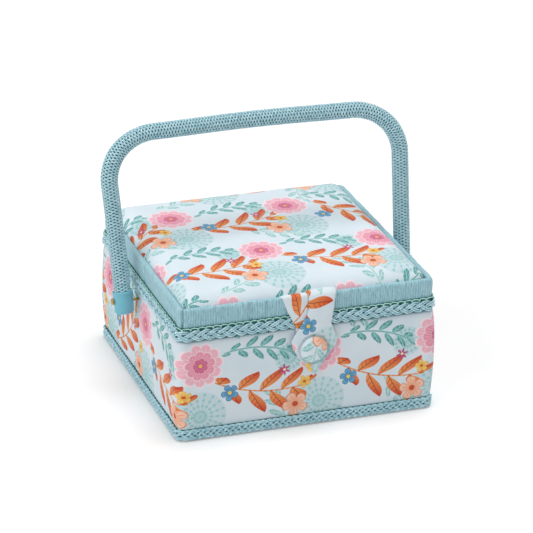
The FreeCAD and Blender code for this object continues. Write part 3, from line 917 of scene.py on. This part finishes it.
cords_each_way = 7
cord_pitch = 16.8
cord_thickness = 0.66
sleeve_middle = 5.95
cord_rise = 0.42
cord_step = 0.5
run = np.arange(-half_length, half_length, cord_step)
lines = []
for hand in (1, -1):
    for cord in range(cords_each_way):
        swing = hand * 2 * math.pi * run / cord_pitch + 2 * math.pi * cord / cords_each_way
        over = hand * cord_rise * np.cos(2 * math.pi * cords_each_way * run / cord_pitch)
        lines.append(np.column_stack([run, swing * sleeve_middle, over / cord_flatten]))
handle_rayon = rayon_cord("rayon_handle_cord", "#8FC4D2", "#CBEEF6")
mesh, spots = strands(lines, cord_thickness, False)
spots = along_handle(spots[:, 0], spots[:, 1] / sleeve_middle, sleeve_middle + spots[:, 2] * cord_flatten)
sleeve = strand_piece("handle_braid_sleeve", mesh, spots, handle_rayon)
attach(sleeve, "handle")
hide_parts("handle_sleeve")

# The bow is moulded in dark teal nylon, smooth with a faint flow texture.
nylon, tree, shader = finish_of("moulded_nylon_bow", {"Roughness": 0.6})
mottle(tree, shader, 120.0, 3.0, "#17363C", "#234850")
bow_radius = 4.7
bow_overrun = 3.0
run = np.linspace(-half_length - bow_overrun, half_length + bow_overrun, 160)
mesh, spots = strands([np.column_stack([run, run * 0, run * 0])], bow_radius, False, sides=20)
turn = np.arctan2(spots[:, 1], spots[:, 2])
bow = strand_piece("handle_bow", mesh, along_handle(spots[:, 0], turn, bow_radius), nylon)
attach(bow, "handle")
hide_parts("handle_core")


# Ferrules: moulded polypropylene cups on the ends of the handle, closed below and rounded at the foot.
ferrule_profile = [(0.0, -9.8), (5.6, -9.8), (6.8, -9.3), (7.4, -8.2), (7.5, -6.0), (7.6, 0.0), (7.75, 5.4),
                   (8.0, 6.0), (8.0, 7.0), (7.7, 7.6), (6.9, 7.6), (6.6, 7.0), (6.5, 5.0), (0.0, 5.0)]
polypropylene, tree, shader = finish_of(
    "moulded_polypropylene", {"Roughness": 0.38, "Subsurface Weight": 0.08, "Subsurface Scale": 0.004}
)
_, place = mottle(tree, shader, 90.0, 4.0, "#69B7CA", "#7FC7D8")
orange_peel = add(tree, "TexNoise", {"Vector": place, "Scale": 900.0, "Detail": 1.0})
roughen(tree, shader, orange_peel, 0.1, 0.0002)


def pair_of(profile, steps, tilt, apart, lean):
    """Two turned solids, left and right: tilted about Y, set apart, leaned back and lifted to the pivots."""
    both = bmesh.new()
    for side in (-1, 1):
        bm = turned(profile, steps)
        bm.transform(Matrix.Translation((side * apart, 0, 0)) @ Matrix.Rotation(side * tilt, 4, "Y"))
        bm.transform(Matrix.Translation((0, 0, pivot_height)) @ Matrix.Rotation(-lean, 4, "X"))
        one = bpy.data.meshes.new("one_of_pair")
        bm.to_mesh(one)
        bm.free()
        both.from_mesh(one)
        bpy.data.meshes.remove(one)
    return both


ferrules = pair_of(ferrule_profile, 48, tilt=leg_splay, apart=pivot_x, lean=handle_lean)
ferrule_pair = piece_of("handle_ferrule_pair", ferrules, polypropylene)
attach(ferrule_pair, "handle")
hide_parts("handle_ferrules")


# Rivets and washers: brassed steel, pressed through ferrule and wall and peened over a washer inside.
brass, tree, shader = finish_of("brassed_steel", {"Metallic": 1.0})
handled, _ = mottle(tree, shader, 300.0, 4.0, "#A58246", "#CDAE6E")
worn = add(tree, "MapRange", {"Value": handled, "To Min": 0.25, "To Max": 0.45})
tree.links.new(worn, shader.inputs["Roughness"])

rivet_profile = [(0.0, 91.8), (1.6, 91.9), (2.2, 92.3), (2.2, 92.6), (1.2, 92.7), (1.2, 122.2), (2.6, 122.3),
                 (2.6, 122.6), (2.3, 123.2), (1.4, 123.6), (0.0, 123.7)]
rivets = pair_of(rivet_profile, 24, tilt=math.pi / 2, apart=0.0, lean=0.0)
rivet_pair = piece_of("handle_rivet_pair", rivets, brass)
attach(rivet_pair, "box")
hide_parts("handle_rivets")
dress(("rivet_washers", "button_shell", "button_shank"), brass)


# Studio: a white floor under a soft light from overhead, another low on the left and a pale sky.
floor_half = 8000.0
floor_glow = 0.2
bm = bmesh.new()
bmesh.ops.create_grid(bm, x_segments=1, y_segments=1, size=floor_half)
floor_paper, tree, shader = finish_of(
    "white_paper", {"Base Color": colour("#EDEDED"), "Roughness": 0.9, "Emission Color": (1, 1, 1, 1)}
)
rays = add(tree, "LightPath").node.outputs
seen = maths(tree, "MAXIMUM", rays["Is Camera Ray"], rays["Is Glossy Ray"])
seen = maths(tree, "MAXIMUM", seen, rays["Is Transmission Ray"])
tree.links.new(maths(tree, "MULTIPLY", seen, floor_glow), shader.inputs["Emission Strength"])
floor = piece_of("floor", bm, floor_paper)

for name, toward, spread, strength in (
    ("overhead_light", (0.16, 0.05, 1.0), 36.0, 1.7),
    ("side_light", (-0.85, -0.22, 0.45), 60.0, 0.95),
):
    lamp = bpy.data.lights.new(name, "SUN")
    lamp.angle = math.radians(spread)
    lamp.energy = strength
    holder = bpy.data.objects.new(name, lamp)
    holder.rotation_euler = (-Vector(toward)).to_track_quat("-Z", "Y").to_euler()
    bpy.context.scene.collection.objects.link(holder)

world = bpy.data.worlds.new("pale_sky")
bpy.context.scene.world = world
world.use_nodes = True
sky_light = world.node_tree.nodes["Background"]
sky_light.inputs["Color"].default_value = (1, 1, 1, 1)
sky_light.inputs["Strength"].default_value = 0.38

# The camera stands where the photo's straight edges place it, with a long lens.
yaw = math.radians(19.088)
pitch = math.radians(23.392)
roll = math.radians(-0.7215)
forward = Vector((math.sin(yaw) * math.cos(pitch), math.cos(yaw) * math.cos(pitch), -math.sin(pitch)))
level = Vector((math.cos(yaw), -math.sin(yaw), 0))
down = forward.cross(level)
right = math.cos(roll) * level + math.sin(roll) * down
up = math.sin(roll) * level - math.cos(roll) * down
camera = bpy.data.objects.new("camera", bpy.data.cameras.new("camera"))
camera.data.lens = 207.17
camera.data.sensor_width = 36.0
camera.matrix_world = Matrix((right, up, -forward)).transposed().to_4x4()
camera.location = (-0.71013, -2.05583, 1.02913)
bpy.context.scene.collection.objects.link(camera)
bpy.context.scene.camera = camera
bpy.context.scene.view_settings.view_transform = "Standard"
